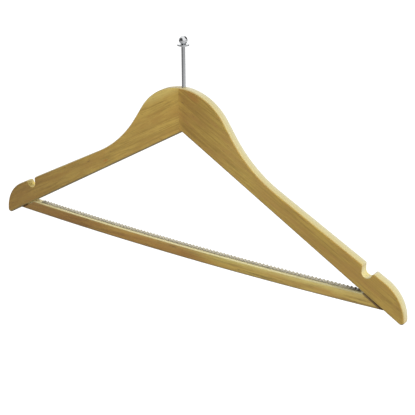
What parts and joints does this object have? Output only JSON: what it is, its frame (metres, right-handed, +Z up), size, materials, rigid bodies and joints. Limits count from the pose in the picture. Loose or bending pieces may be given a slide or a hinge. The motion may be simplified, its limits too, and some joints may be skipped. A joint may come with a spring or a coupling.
{
  "type": "anti-theft wooden clothes hanger",
  "caption": "Flat wooden clothes hanger with a ball-headed steel pin for a captive ring, strap notches in the arms and a trouser bar with a ribbed grip strip.",
  "frame": {"origin": "on the pin's axis, at the underside of the collar that rests on the captive ring", "axes": "+X along the hanger towards the right arm as seen in the picture, -Y towards the viewer's front face, +Z up along the pin"},
  "size_m": [0.4456, 0.0108, 0.2132],
  "materials": {
    "left_arm_wood": "clear satin lacquer",
    "right_arm_wood": "clear satin lacquer",
    "bar_wood": "clear satin lacquer",
    "grip_vinyl": "clear grey-green soft vinyl",
    "zinc_steel": "zinc plated",
    "chrome": "polished"
  },
  "bodies": {
    "pin": {"security_pin": "chrome", "pin_collar": "chrome", "retaining_washer": "zinc_steel"},
    "hanger_frame": {"left_arm": "left_arm_wood", "right_arm": "right_arm_wood", "trouser_bar": "bar_wood", "grip_strip": "grip_vinyl", "left_bar_screw": "zinc_steel", "right_bar_screw": "zinc_steel"}
  },
  "joints": [
    {"name": "pin_swivel", "type": "hinge", "parent": "pin", "child": "hanger_frame", "pos_m": [0, 0, 0], "axis": [0, 0, 1], "continuous": true}
  ]
}
